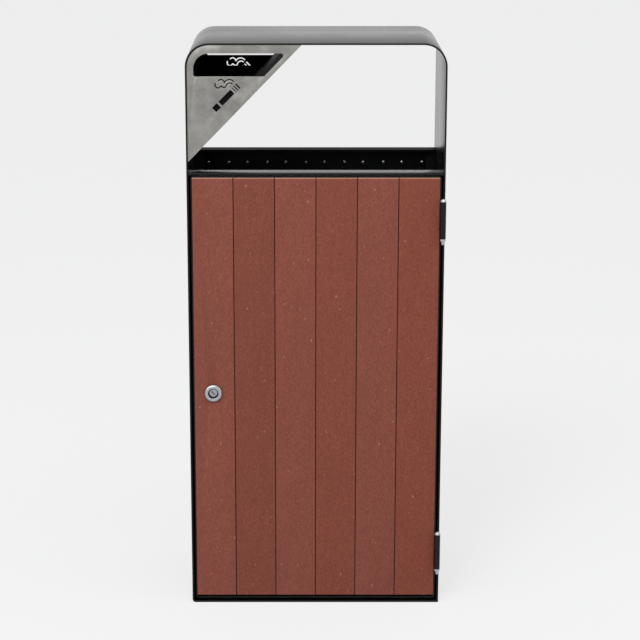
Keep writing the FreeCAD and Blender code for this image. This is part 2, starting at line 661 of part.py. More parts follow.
def make_ash_flap_catch():
    """The magnet block under the hoop's top that holds the flap shut."""
    inset = FLAP_INSET + FLAP_SHEET + CATCH_GAP
    right_top, right_foot = (slant_at_height(z, inset) for z in (inner_top, inner_top - CATCH_HEIGHT))
    left = right_foot - CATCH_LENGTH
    corners = [(left, inner_top, 0), (right_top, inner_top, 0), (right_foot, inner_top - CATCH_HEIGHT, 0),
               (left, inner_top - CATCH_HEIGHT, 0)]
    return across(corners, -CATCH_HALF_WIDTH, CATCH_HALF_WIDTH)


def pan_corners(wall):
    """The pan's outline, moved inwards by the wall but still open at the rim."""
    left = -inner_side + PAN_SIDE_GAP + wall
    foot = pan_floor + wall
    return [(left, pan_rim, 0), (left, foot, 0), (slant_at_height(foot, pan_inset + wall), foot, 0),
            (slant_at_height(pan_rim, pan_inset + wall), pan_rim, 0)]


def make_ash_pan():
    """The lift-off pan behind the flap, with a keyhole for each stud."""
    pan = across(pan_corners(0), -pan_half_depth, pan_half_depth)
    inside = pan_half_depth - PAN_SHEET
    pan = pan.cut(across(pan_corners(PAN_SHEET), -inside, inside))
    neck = STUD_RADIUS + STUD_FIT
    mouth = STUD_HEAD_RADIUS + STUD_FIT
    for side in (-1, 1):
        stud = slanted_point(STUD_RISE, pan_inset) + Y * side * STUD_HALF_SPACING
        depth = inward * PAN_SHEET
        low = stud - slope * PAN_TRAVEL
        keyhole = [rod(neck, stud, stud + depth), rod(mouth, low, low + depth)]
        slot = slanted_sheet(STUD_RISE - PAN_TRAVEL, STUD_RISE, PAN_SHEET, pan_inset, neck)
        slot.translate(Y * side * STUD_HALF_SPACING)
        pan = pan.cut(keyhole + [slot])
    return pan


def make_ash_pan_studs():
    """The shouldered studs on the flap that the pan hangs on."""
    neck = PAN_FLAP_GAP + PAN_SHEET + STUD_FIT
    profile = [(0, 0), (STUD_RADIUS, 0), (STUD_RADIUS, neck), (STUD_HEAD_RADIUS, neck),
               (STUD_HEAD_RADIUS, neck + STUD_HEAD_HEIGHT), (0, neck + STUD_HEAD_HEIGHT)]
    seat = slanted_point(STUD_RISE, FLAP_INSET + FLAP_SHEET)
    studs = [turned(profile, seat + Y * side * STUD_HALF_SPACING, inward) for side in (-1, 1)]
    return Part.makeCompound(studs)


# Liner

def make_liner():
    """The lift-out liner with a beaded rim and a hand hole at each side."""
    def corners(grow):
        return rectangle(liner_half_width + grow, liner_half_depth + grow, LINER_CORNER_RADIUS + grow)

    bead = upright(corners(LINER_BEAD), liner_rim - LINER_BEAD_HEIGHT, liner_rim)
    rims = [e for e in bead.Edges if e.BoundBox.ZLength < LINER_BEAD_ROUND]
    bead = bead.makeFillet(LINER_BEAD_ROUND, rims)
    liner = upright(corners(0), liner_floor, liner_rim).fuse(bead)
    liner = liner.cut(upright(corners(-LINER_SHEET), liner_floor + LINER_SHEET, liner_rim)).removeSplitter()
    middle = liner_rim - HAND_HOLE_DROP - HAND_HOLE_HEIGHT / 2
    shape = rectangle(HAND_HOLE_LENGTH / 2, HAND_HOLE_HEIGHT / 2, HAND_HOLE_RADIUS)
    holes = outline(shape, lambda u, v: V(-half_width, u, v + middle)).extrude(X * WIDTH)
    return liner.cut(holes)


def make_liner_runner():
    """The right-hand upturned channel that the liner stands on."""
    low, high = RUNNER_OFFSET, RUNNER_OFFSET + RUNNER_WIDTH
    top = HOOP_SHEET + RUNNER_HEIGHT
    runner = block((low, -runner_half, HOOP_SHEET), (high, runner_half, top))
    return runner.cut(block((low + RUNNER_SHEET, -runner_half, HOOP_SHEET),
                            (high - RUNNER_SHEET, runner_half, top - RUNNER_SHEET)))


def make_liner_stop():
    """The low fence that keeps the liner from sliding out."""
    back = -(liner_half_depth + LINER_BEAD + STOP_GAP)
    return block((-STOP_HALF_LENGTH, back - STOP_SHEET, HOOP_SHEET),
                 (STOP_HALF_LENGTH, back, HOOP_SHEET + STOP_HEIGHT))


# The assembly

def frame_pieces():
    """Everything that stands still."""
    rail = make_front_rail()
    front_stile = make_stile(tray_back - DOOR_STOP_GAP)
    rear_stile = make_stile(tray_back)
    runner = make_liner_runner()
    pieces = {
        "hoop": make_hoop(),
        "front_rail": rail,
        "rear_rail": to_rear(rail),
        "front_left_stile": to_rear(front_stile),
        "front_right_stile": mirrored(to_rear(front_stile)),
        "rear_left_stile": mirrored(rear_stile),
        "rear_right_stile": rear_stile,
        "rear_tray": make_tray(),
        "rear_plank_screws": make_plank_screws(),
        "front_ash_plate": make_ash_plate(rear=False),
        "rear_ash_plate": make_ash_plate(rear=True),
        "ash_hinge_ears": make_ash_hinge_ears(),
        "ash_hinge_rod": make_ash_hinge_rod(),
        "ash_rod_caps": make_ash_rod_caps(),
        "ash_flap_catch": make_ash_flap_catch(),
        "liner_runner_right": runner,
        "liner_runner_left": mirrored(runner),
        "liner_stop": make_liner_stop(),
    }
    for number, middle in enumerate(plank_middles(), 1):
        pieces[f"rear_plank_{number}"] = make_plank(middle)
    return pieces


def door_pieces():
    """The door with its lock body, without the hinges."""
    hole = lock_hole()
    pieces = {
        "door_tray": to_rear(make_tray()).cut(hole),
        "door_plank_screws": to_rear(make_plank_screws()),
        "lock_body": make_lock_body(),
        "lock_nut": make_lock_nut(),
        "lock_plug": make_lock_plug(),
        "lock_cam": make_lock_cam(),
        "lock_cam_screw": make_lock_cam_screw(),
    }
    for number, middle in enumerate(plank_middles(), 1):
        plank = to_rear(make_plank(-middle))
        pieces[f"door_plank_{number}"] = plank.cut(hole) if abs(middle - lock_x) < plank_width / 2 else plank
    return pieces


def main():
    """Build every piece and write one file for each."""
    pieces = frame_pieces()
    pieces.update(door_pieces())
    for place, middle in hinge_middles.items():
        for part, shape in make_hinge(middle).items():
            pieces[f"{place}_hinge_{part}"] = shape
    pieces["ash_flap"] = make_ash_flap()
    pieces["ash_pan"] = make_ash_pan()
    pieces["ash_pan_studs"] = make_ash_pan_studs()
    pieces["liner_bucket"] = make_liner()
    os.makedirs("parts", exist_ok=True)
    for name, shape in pieces.items():
        shape.exportStep(f"parts/{name}.step")
        print(f"{name}: {len(shape.Solids)} solids, {shape.Volume:.0f} mm3, valid {shape.isValid()}")


main()
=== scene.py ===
import logging
import math
from dataclasses import dataclass
from enum import Enum
from typing import Optional

import bpy
import bmesh
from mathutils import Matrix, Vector


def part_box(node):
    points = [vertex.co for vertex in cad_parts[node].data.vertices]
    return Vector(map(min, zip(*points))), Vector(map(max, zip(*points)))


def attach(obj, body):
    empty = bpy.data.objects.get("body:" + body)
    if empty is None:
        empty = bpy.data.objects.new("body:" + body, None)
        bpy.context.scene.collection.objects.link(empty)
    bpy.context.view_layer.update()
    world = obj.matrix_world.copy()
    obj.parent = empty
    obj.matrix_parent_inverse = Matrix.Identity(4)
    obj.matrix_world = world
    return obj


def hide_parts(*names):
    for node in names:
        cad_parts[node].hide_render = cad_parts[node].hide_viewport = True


logging.basicConfig(level=logging.INFO, format="%(message)s")
log = logging.getLogger("litter_bin")

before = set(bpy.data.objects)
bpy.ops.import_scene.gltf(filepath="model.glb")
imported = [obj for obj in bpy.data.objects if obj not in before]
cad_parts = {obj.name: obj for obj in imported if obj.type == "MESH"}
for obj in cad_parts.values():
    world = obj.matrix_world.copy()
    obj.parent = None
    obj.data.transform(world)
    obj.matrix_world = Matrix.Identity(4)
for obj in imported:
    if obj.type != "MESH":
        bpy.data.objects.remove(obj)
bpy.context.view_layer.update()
MM = 0.001

# Where a noise's values mostly lie, and how close two points are that are the same one
NOISE_LOW, NOISE_HIGH = 0.3, 0.7
SAME_POINT = 1e-6

# Brightness and depth of colour of the planks, from left to right: every other one is deeper
DOOR_TONES = ((0.9, 0.97), (0.81, 0.99), (0.885, 0.97), (0.855, 1.0), (0.865, 0.97), (0.855, 1.01))

Colour = tuple[float, float, float, float]


def shade(red: float, green: float, blue: float) -> Colour:
    """Return an opaque linear colour."""
    return (red, green, blue, 1.0)


def grey(tone: float) -> Colour:
    """Return an opaque linear grey."""
    return shade(tone, tone, tone)


class Recipe:
    """A material under construction, with short calls for its nodes and links."""

    def __init__(self, name: str) -> None:
        """Start an empty node material.

        Args:
            name: the material's name.
        """
        self.material = bpy.data.materials.new(name)
        self.material.use_nodes = True
        self.tree = self.material.node_tree
        self.tree.nodes.clear()
        self.output = self.node("ShaderNodeOutputMaterial")
        self.place = self.node("ShaderNodeTexCoord").outputs["Object"]

    def node(self, kind: str, inputs: Optional[dict] = None, **settings: object) -> bpy.types.Node:
        """Add a node.

        Args:
            kind: the node's type name.
            inputs: socket names or numbers with a constant, or with a socket to link from.
            settings: the node's own properties.

        Returns:
            The new node.
        """
        made = self.tree.nodes.new(kind)
        for name, value in settings.items():
            setattr(made, name, value)
        for name, value in (inputs or {}).items():
            if isinstance(value, bpy.types.NodeSocket):
                self.tree.links.new(value, made.inputs[name])
            else:
                made.inputs[name].default_value = value
        return made

    def stretched(self, x: float, y: float, z: float) -> bpy.types.NodeSocket:
        """Return the object coordinates scaled along each axis."""
        return self.node("ShaderNodeMapping", {"Vector": self.place, "Scale": (x, y, z)}).outputs["Vector"]

    def noise(self, vector: bpy.types.NodeSocket, scale: float, detail: float = 3.0,
              roughness: float = 0.5) -> bpy.types.NodeSocket:
        """Return a noise between 0 and 1.

        Args:
            vector: where it is read.
            scale: its size, in bumps per metre.
            detail: its octaves.
            roughness: how strong the fine octaves are.

        Returns:
            The noise's factor socket.
        """
        made = self.node("ShaderNodeTexNoise", {"Vector": vector, "Scale": scale, "Detail": detail,
                                                "Roughness": roughness})
        return made.outputs["Fac"]

    def ramp(self, factor: bpy.types.NodeSocket, *stops: tuple[float, Colour]) -> bpy.types.NodeSocket:
        """Return a colour ramp's colour.

        Args:
            factor: what runs along the ramp.
            stops: places and colours, in order.

        Returns:
            The ramp's colour socket.
        """
        made = self.node("ShaderNodeValToRGB", {"Fac": factor})
        elements = made.color_ramp.elements
        while len(elements) < len(stops):
            elements.new(0.5)
        for element, (place, colour) in zip(elements, stops):
            element.position = place
            element.color = colour
        return made.outputs["Color"]

    def level(self, factor: bpy.types.NodeSocket, low: float, high: float) -> bpy.types.NodeSocket:
        """Return a noise's usual range spread between low and high."""
        made = self.node("ShaderNodeMapRange", {"Value": factor, "From Min": NOISE_LOW,
                                                "From Max": NOISE_HIGH, "To Min": low, "To Max": high})
        return made.outputs["Result"]

    def rise(self, value: bpy.types.NodeSocket, start: float, end: float,
             top: float = 1.0) -> bpy.types.NodeSocket:
        """Return 0 up to start, growing to top at end."""
        made = self.node("ShaderNodeMapRange", {"Value": value, "From Min": start, "From Max": end,
                                                "To Max": top})
        return made.outputs["Result"]

    def mixed(self, factor: object, one: object, two: object, blend: str = "MIX") -> bpy.types.NodeSocket:
        """Return a mix of two colours.

        Args:
            factor: a number or socket, 0 for one and 1 for two.
            one: a colour or socket.
            two: a colour or socket.
            blend: the way of mixing.

        Returns:
            The mixed colour socket.
        """
        made = self.node("ShaderNodeMix", data_type="RGBA", blend_type=blend)
        for index, value in ((0, factor), (6, one), (7, two)):
            if isinstance(value, bpy.types.NodeSocket):
                self.tree.links.new(value, made.inputs[index])
            else:
                made.inputs[index].default_value = value
        return made.outputs[2]

    def bump(self, height: bpy.types.NodeSocket, strength: float, distance: float,
             under: Optional[bpy.types.NodeSocket] = None) -> bpy.types.NodeSocket:
        """Return a normal that follows a height.

        Args:
            height: the height socket.
            strength: how much of it shows.
            distance: the height of 1, in metres.
            under: a normal that it is added to.

        Returns:
            The normal socket.
        """
        inputs = {"Height": height, "Strength": strength, "Distance": distance}
        if under is not None:
            inputs["Normal"] = under
        return self.node("ShaderNodeBump", inputs).outputs["Normal"]

    def finished(self, shader: bpy.types.NodeSocket) -> bpy.types.Material:
        """Link the shader to the output and return the material."""
        self.tree.links.new(shader, self.output.inputs["Surface"])
        return self.material

    def surface(self, inputs: dict) -> bpy.types.NodeSocket:
        """Return a Principled shader with these inputs."""
        return self.node("ShaderNodeBsdfPrincipled", inputs).outputs["BSDF"]


@dataclass(frozen=True)
class PowderCoat:
    """Satin black powder coat with a fine orange peel and a breath of dust."""

    name: str = "black_powder_coat"
    black: Colour = shade(0.0022, 0.0024, 0.0027)
    dusty: Colour = shade(0.0055, 0.0058, 0.0062)
    roughness: float = 0.2
    specular: float = 0.2
    peel_scale: float = 750.0
    peel_strength: float = 0.05
    peel_height: float = 0.1 * MM
    dust_scale: float = 7.0
    dust_share: float = 0.5
    grit_scale: float = 2600.0
    grit_share: float = 0.3
    smear_scale: float = 5.0
    smear_spread: tuple[float, float] = (-0.03, 0.05)

    def material(self) -> bpy.types.Material:
        """Build the coat and return it."""
        r = Recipe(self.name)
        dust = r.noise(r.place, self.dust_scale, 4.0, 0.55)
        grit = r.noise(r.place, self.grit_scale, 2.0)
        colour = r.mixed(r.level(dust, 0.0, self.dust_share), self.black, self.dusty)
        colour = r.mixed(r.level(grit, 0.0, self.grit_share), colour, self.dusty)
        peel = r.noise(r.place, self.peel_scale, 1.0)
        smear = r.noise(r.place, self.smear_scale, 3.0)
        normal = r.bump(peel, self.peel_strength, self.peel_height)
        glossiest, dullest = (self.roughness + change for change in self.smear_spread)
        return r.finished(r.surface({
            "Base Color": colour, "Specular IOR Level": self.specular, "Normal": normal,
            "Roughness": r.level(smear, glossiest, dullest)}))


@dataclass(frozen=True)
class PlankFinish:
    """Sanded wood composite: flecks, faint streaks, slow changes of tone and chalky patches, with a painted
    highlight in the chalk colour along the top edge.
    """

    name: str
    top: float
    tone: float = 1.0
    depth: float = 1.0
    offset: float = 0.0
    dark: Colour = shade(0.132, 0.0288, 0.0168)
    middle: Colour = shade(0.198, 0.0455, 0.0275)
    light: Colour = shade(0.285, 0.088, 0.056)
    # The chalk colour: real chalky patches, and also the painted highlight along the top edge
    chalk: Colour = shade(0.4, 0.2, 0.15)
    streak_scale: float = 260.0
    streak_share: float = 0.22
    fleck_scale: float = 620.0
    fleck_height: float = 0.3 * MM
    cloud_scale: float = 16.0
    cloud_share: float = 0.26
    grain_scale: float = 1500.0
    grain_share: float = 0.26
    grain_height: float = 0.15 * MM
    chalk_scale: float = 170.0
    chalk_range: tuple[float, float] = (0.72, 0.78)
    chalk_share: float = 0.6
    # How far down the painted highlight along the top edge reaches, and how strong it is
    highlight_depth: float = 2.4 * MM
    highlight_share: float = 0.75
    rough_range: tuple[float, float] = (0.6, 0.78)
    specular: float = 0.2
    sheen: float = 0.04

    def material(self) -> bpy.types.Material:
        """Build this plank's finish and return it."""
        r = Recipe(self.name)
        height = r.node("ShaderNodeSeparateXYZ", {"Vector": r.place}).outputs["Z"]
        # Painted highlight: the top edge is lightened towards the chalk colour, standing in for light on the
        # bevel
        top_edge_highlight = r.rise(height, self.top - self.highlight_depth, self.top - self.highlight_depth / 2, self.highlight_share)
        shift = (self.offset, 0.0, 3.1 * self.offset)
        r.place = r.node("ShaderNodeMapping", {"Vector": r.place, "Location": shift}).outputs["Vector"]
        streaks = r.noise(r.stretched(1.0, 1.0, 0.05), self.streak_scale, 3.0, 0.55)
        flecks = r.noise(r.stretched(1.0, 1.0, 0.42), self.fleck_scale, 4.0, 0.75)
        clouds = r.noise(r.stretched(1.0, 1.0, 0.5), self.cloud_scale, 4.0)
        grains = r.noise(r.place, self.grain_scale, 2.0, 0.7)
        chalk = r.noise(r.stretched(1.0, 1.0, 0.6), self.chalk_scale, 1.0)
        colour = r.ramp(flecks, (0.34, self.dark), (0.5, self.middle), (0.7, self.light))
        colour = r.mixed(r.level(streaks, 0.0, self.streak_share), colour, self.dark)
        colour = r.mixed(r.level(clouds, 0.0, self.cloud_share), colour, self.dark)
        colour = r.mixed(r.level(grains, 0.0, self.grain_share), colour, self.light)
        colour = r.mixed(r.rise(chalk, *self.chalk_range, self.chalk_share), colour, self.chalk)
        # Painted highlight along the top edge, in the chalk colour
        colour = r.mixed(top_edge_highlight, colour, self.chalk)
        tint = r.node("ShaderNodeHueSaturation", {"Saturation": self.depth, "Value": self.tone,
                                                  "Color": colour})
        normal = r.bump(grains, 0.35, self.grain_height, r.bump(flecks, 0.45, self.fleck_height))
        return r.finished(r.surface({
            "Base Color": tint.outputs["Color"], "Roughness": r.level(flecks, *self.rough_range),
            "Specular IOR Level": self.specular, "Normal": normal, "Sheen Weight": self.sheen,
            "Sheen Roughness": 0.5}))


@dataclass(frozen=True)
class PlateFinish:
    """Matt stainless plate with cloudy stains; the side that faces into the bin is a matt black painted shade
    in place of steel.
    """

    name: str
    inner_y: float
    front: bool
    steel: Colour = shade(0.335, 0.328, 0.312)
    stain: Colour = shade(0.215, 0.208, 0.196)
    glint: Colour = shade(0.5, 0.49, 0.47)
    # Painted shade for the side that faces into the bin
    black: Colour = shade(0.0035, 0.0036, 0.0038)
    black_roughness: float = 0.62
    black_specular: float = 0.08
    cloud_scale: float = 26.0
    brush_scale: float = 2600.0
    brush_share: float = 0.22
    brush_height: float = 0.08 * MM
    patch_scale: float = 70.0
    patch_share: float = 0.32
    patch_height: float = 0.6 * MM
    rough_range: tuple[float, float] = (0.34, 0.5)

    def material(self) -> bpy.types.Material:
        """Build the plate's finish and return it."""
        r = Recipe(self.name)
        clouds = r.noise(r.place, self.cloud_scale, 4.0, 0.6)
        brush = r.noise(r.stretched(0.06, 1.0, 1.0), self.brush_scale, 2.0)
        patches = r.noise(r.stretched(1.0, 1.0, 0.6), self.patch_scale, 3.0, 0.55)
        colour = r.ramp(clouds, (0.32, self.stain), (0.62, self.steel))
        colour = r.mixed(r.level(patches, 0.0, self.patch_share), colour, self.stain)
        colour = r.mixed(r.level(brush, 0.0, self.brush_share), colour, self.glint)
        rough = r.level(clouds, *self.rough_range)
        normal = r.bump(brush, 0.22, self.brush_height, r.bump(patches, 0.1, self.patch_height))
        bare = r.surface({"Base Color": colour, "Metallic": 1.0, "Roughness": rough, "Normal": normal})
        # Painted shade: the inner side of the plate shows as matt black, where it lies in shadow
        inner_shade_surface = r.surface({"Base Color": self.black, "Roughness": self.black_roughness,
                          "Specular IOR Level": self.black_specular})
        depth = r.node("ShaderNodeSeparateXYZ", {"Vector": r.place}).outputs["Y"]
        test = "GREATER_THAN" if self.front else "LESS_THAN"
        inside = r.node("ShaderNodeMath", {0: depth, 1: self.inner_y}, operation=test).outputs["Value"]
        return r.finished(r.node("ShaderNodeMixShader", {0: inside, 1: bare, 2: inner_shade_surface}).outputs["Shader"])


@dataclass(frozen=True)
class ZincSheet:
    """Galvanised sheet with spangles, rubbed duller where litter slides over it."""

    name: str = "galvanised_spangle"
    pale: Colour = shade(0.42, 0.44, 0.45)
    dull: Colour = shade(0.24, 0.25, 0.26)
    warp_scale: float = 60.0
    warp_share: float = 0.06
    spangle_scale: float = 85.0
    rub_scale: float = 38.0
    rub_share: float = 0.5
    ripple_scale: float = 300.0
    ripple_height: float = 0.4 * MM
    rough_range: tuple[float, float] = (0.3, 0.52)

    def material(self) -> bpy.types.Material:
        """Build the sheet's finish and return it."""
        r = Recipe(self.name)
        warp = r.node("ShaderNodeTexNoise", {"Vector": r.place, "Scale": self.warp_scale})
        warped = r.mixed(self.warp_share, r.place, warp.outputs["Color"])
        cells = r.node("ShaderNodeTexVoronoi", {"Vector": warped, "Scale": self.spangle_scale})
        grain = r.node("ShaderNodeSeparateColor", {"Color": cells.outputs["Color"]}).outputs["Red"]
        rub = r.noise(r.stretched(1.0, 1.0, 0.12), self.rub_scale, 5.0, 0.65)
        colour = r.ramp(grain, (0.0, self.dull), (1.0, self.pale))
        colour = r.mixed(r.level(rub, 0.0, self.rub_share), colour, self.dull)
        rough = r.level(rub, *self.rough_range)
        normal = r.bump(r.noise(r.place, self.ripple_scale, 2.0), 0.12, self.ripple_height)
        return r.finished(r.surface({"Base Color": colour, "Metallic": 1.0, "Roughness": rough,
                                     "Normal": normal}))


@dataclass(frozen=True)
class BrightMetal:
    """A plated or polished small part with fine scuffs."""

    name: str
    colour: Colour
    tarnish: Colour
    roughness: float
    scuff_scale: float = 500.0
    scuff_height: float = 0.1 * MM
    scuff_spread: float = 0.16
    film_scale: float = 120.0
    film_share: float = 0.55

    def material(self) -> bpy.types.Material:
        """Build the metal and return it."""
        r = Recipe(self.name)
        scuffs = r.noise(r.stretched(1.0, 0.3, 1.0), self.scuff_scale, 5.0, 0.7)
        film = r.noise(r.place, self.film_scale, 3.0)
        colour = r.mixed(r.level(film, 0.0, self.film_share), self.colour, self.tarnish)
        rough = r.level(scuffs, self.roughness, self.roughness + self.scuff_spread)
        normal = r.bump(scuffs, 0.12, self.scuff_height)
        return r.finished(r.surface({"Base Color": colour, "Metallic": 1.0, "Roughness": rough,
                                     "Normal": normal}))


@dataclass(frozen=True)
class LockFinish:
    """Chrome round an axis along Y, scuffed duller at random, with a dark matt painted shade in the recess
    round the plug and painted shade darkening the outer rim.
    """

    name: str
    axis: tuple[float, float]
    recess_radius: float
    rim_radius: float
    chrome: Colour = shade(0.46, 0.47, 0.49)
    # Duller chrome: real wear in the scuffs, and also painted shade towards the outer rim
    worn_and_rim_shade: Colour = shade(0.26, 0.265, 0.275)
    # Painted shade in the recess round the plug
    recess_shade: Colour = shade(0.006, 0.006, 0.007)
    blend: float = 0.25 * MM
    rim_width: float = 2.0 * MM
    rim_share: float = 0.8
    scuff_scale: float = 900.0
    scuff_share: float = 0.5
    scuff_height: float = 0.1 * MM
    rough_range: tuple[float, float] = (0.3, 0.42)

    def material(self) -> bpy.types.Material:
        """Build the chrome and return it."""
        r = Recipe(self.name)
        x, z = self.axis
        centred = r.node("ShaderNodeMapping", {"Vector": r.place, "Location": (-x, 0.0, -z)})
        flat = r.node("ShaderNodeVectorMath", {0: centred.outputs["Vector"], 1: (1.0, 0.0, 1.0)},
                      operation="MULTIPLY")
        length = r.node("ShaderNodeVectorMath", {0: flat.outputs["Vector"]}, operation="LENGTH")
        away = length.outputs["Value"]
        scuffs = r.noise(r.place, self.scuff_scale, 4.0, 0.7)
        colour = r.mixed(r.level(scuffs, 0.0, self.scuff_share), self.chrome, self.worn_and_rim_shade)
        # Painted shade: the colour darkens towards the outer rim
        rim = r.rise(away, self.rim_radius - self.rim_width, self.rim_radius, self.rim_share)
        colour = r.mixed(rim, colour, self.worn_and_rim_shade)
        # Painted shade: inside the recess radius the surface turns dark and matt
        outside_recess = r.rise(away, self.recess_radius, self.recess_radius + self.blend)
        metal = r.surface({"Base Color": colour, "Metallic": 1.0,
                           "Roughness": r.level(scuffs, *self.rough_range),
                           "Normal": r.bump(scuffs, 0.06, self.scuff_height)})
        recess_shade_surface = r.surface({"Base Color": self.recess_shade, "Roughness": 0.7, "Specular IOR Level": 0.1})
        return r.finished(r.node("ShaderNodeMixShader", {0: outside_recess, 1: recess_shade_surface, 2: metal}).outputs["Shader"])


@dataclass(frozen=True)
class MagnetFinish:
    """A dark sintered block with a slight grain."""

    name: str = "magnet_block"
    colour: Colour = shade(0.035, 0.035, 0.038)
    speck: Colour = shade(0.09, 0.09, 0.095)
    grain_scale: float = 1500.0
    grain_share: float = 0.6
    grain_height: float = 0.1 * MM
    roughness: float = 0.6

    def material(self) -> bpy.types.Material:
        """Build the block's finish and return it."""
        r = Recipe(self.name)
        grain = r.noise(r.place, self.grain_scale, 3.0, 0.7)
        colour = r.mixed(r.level(grain, 0.0, self.grain_share), self.colour, self.speck)
        normal = r.bump(grain, 0.2, self.grain_height)
        return r.finished(r.surface({"Base Color": colour, "Roughness": self.roughness, "Normal": normal}))


class Finish(Enum):
    """The shared finishes, by name."""

    COAT = PowderCoat()
    # Painted shade: a darker, duller coat for the pieces inside the bin, where they lie in shadow
    SHADE_DARKENED_COAT = PowderCoat("shade_darkened_inner_coat", grey(0.0016), grey(0.004), roughness=0.62, specular=0.08)
    ZINC_SHEET = ZincSheet()
    CHROME = BrightMetal("nickel_chrome", shade(0.4, 0.41, 0.43), shade(0.3, 0.305, 0.315), 0.34)
    ZINC = BrightMetal("zinc_plate", shade(0.47, 0.48, 0.5), shade(0.35, 0.36, 0.37), 0.44)
    BLACK_ZINC = BrightMetal("black_zinc_plate", shade(0.25, 0.265, 0.3), shade(0.11, 0.117, 0.13), 0.12)
    MAGNET = MagnetFinish()


class Workshop:
    """Turns CAD nodes into shown pieces: sharp sheet edges are eased, and finishes are put on."""

    flat_angle = math.radians(0.4)
    sharp_angle = math.radians(30)
    smooth_angle = math.radians(32)

    def __init__(self) -> None:
        """Start with no finishes made."""
        self.made: dict[str, bpy.types.Material] = {}

    def finish(self, recipe: object) -> bpy.types.Material:
        """Return the material of a finish, built once.

        Args:
            recipe: a finish object, or a member of Finish.

        Returns:
            The material.
        """
        recipe = recipe.value if isinstance(recipe, Finish) else recipe
        if recipe.name not in self.made:
            self.made[recipe.name] = recipe.material()
        return self.made[recipe.name]

    def dress(self, piece: bpy.types.Object, recipe: object) -> None:
        """Put one finish all over a piece."""
        piece.data.materials.clear()
        piece.data.materials.append(self.finish(recipe))

    def copy_node(self, node: str) -> bpy.types.Object:
        """Return a merged copy of a CAD node with its flat faces whole again."""
        bpy.ops.object.select_all(action="DESELECT")
        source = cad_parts[node]
        mesh = source.data.copy()
        piece = bpy.data.objects.new(f"{node}_shown", mesh)
        bpy.context.scene.collection.objects.link(piece)
        piece.select_set(True)
        bpy.context.view_layer.objects.active = piece
        bpy.ops.mesh.customdata_custom_splitnormals_clear()
        bpy.ops.object.mode_set(mode="EDIT")
        bpy.ops.mesh.select_all(action="SELECT")
        bpy.ops.mesh.remove_doubles(threshold=SAME_POINT)
        bpy.ops.mesh.dissolve_limited(angle_limit=self.flat_angle)
        bpy.ops.object.mode_set(mode="OBJECT")
        return piece

    def eased(self, node: str, body: str, recipe: object, slot: str, width: float,
              segments: int = 2) -> bpy.types.Object:
        """Show a CAD node as a piece whose sharp edges are rounded.

        Args:
            node: the CAD node.
            body: the body that it rides on.
            recipe: its finish.
            slot: its material slot's name; not used.
            width: the edge rounding, in metres.
            segments: faces across each rounded edge.

        Returns:
            The shown piece.
        """
        piece = self.copy_node(node)
        bevel = piece.modifiers.new("edges", "BEVEL")
        bevel.width = width
        bevel.segments = segments
        bevel.limit_method = "ANGLE"
        bevel.angle_limit = self.sharp_angle
        bevel.use_clamp_overlap = True
        bpy.ops.object.modifier_apply(modifier=bevel.name)
        bpy.ops.object.shade_smooth_by_angle(angle=self.smooth_angle)
        self.dress(piece, recipe)
        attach(piece, body)
        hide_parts(node)
        log.info("eased %s: %d faces", node, len(piece.data.polygons))
        return piece

    def plain(self, node: str, recipe: object) -> None:
        """Give a CAD node that stays its finish."""
        self.dress(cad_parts[node], recipe)
        log.info("dressed %s", node)


@dataclass
class HoopFrame:
    """The bent hoop with its rails, stiles, runners and liner stop."""

    shop: Workshop
    edge: float = 0.45 * MM
    body: str = "frame"
    slot: str = "black_coat"

    def build(self) -> None:
        """Show every coated piece of the frame, the ones inside it in the darker, duller coat that paints their
        shade.
        """
        for node in ("hoop", "front_rail", "liner_runner_left", "liner_runner_right", "liner_stop"):
            self.shop.eased(node, self.body, Finish.COAT, self.slot, self.edge, 3)
        # Pieces inside the bin: their darker coat is painted shade
        for node in ("rear_rail", "front_left_stile", "front_right_stile", "rear_left_stile",
                     "rear_right_stile"):
            self.shop.eased(node, self.body, Finish.SHADE_DARKENED_COAT, self.slot, self.edge, 3)


@dataclass
class PlankPanel:
    """A tray with its row of planks: the door, or the fixed rear panel."""

    shop: Workshop
    name: str
    body: str
    tones: tuple[tuple[float, float], ...]
    plank_edge: float = 0.5 * MM
    seed: float = 0.0

    def build(self) -> None:
        """Dress the tray and show its planks, each with a brightness and a depth of colour of its own."""
        self.shop.plain(f"{self.name}_tray", Finish.COAT)
        for number, (tone, depth) in enumerate(self.tones, 1):
            plank = f"{self.name}_plank_{number}"
            finish = PlankFinish(f"{plank}_grain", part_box(plank)[1].z, tone, depth, self.seed + 0.37 * number)
            self.shop.eased(plank, self.body, finish, "wood_plank", self.plank_edge)


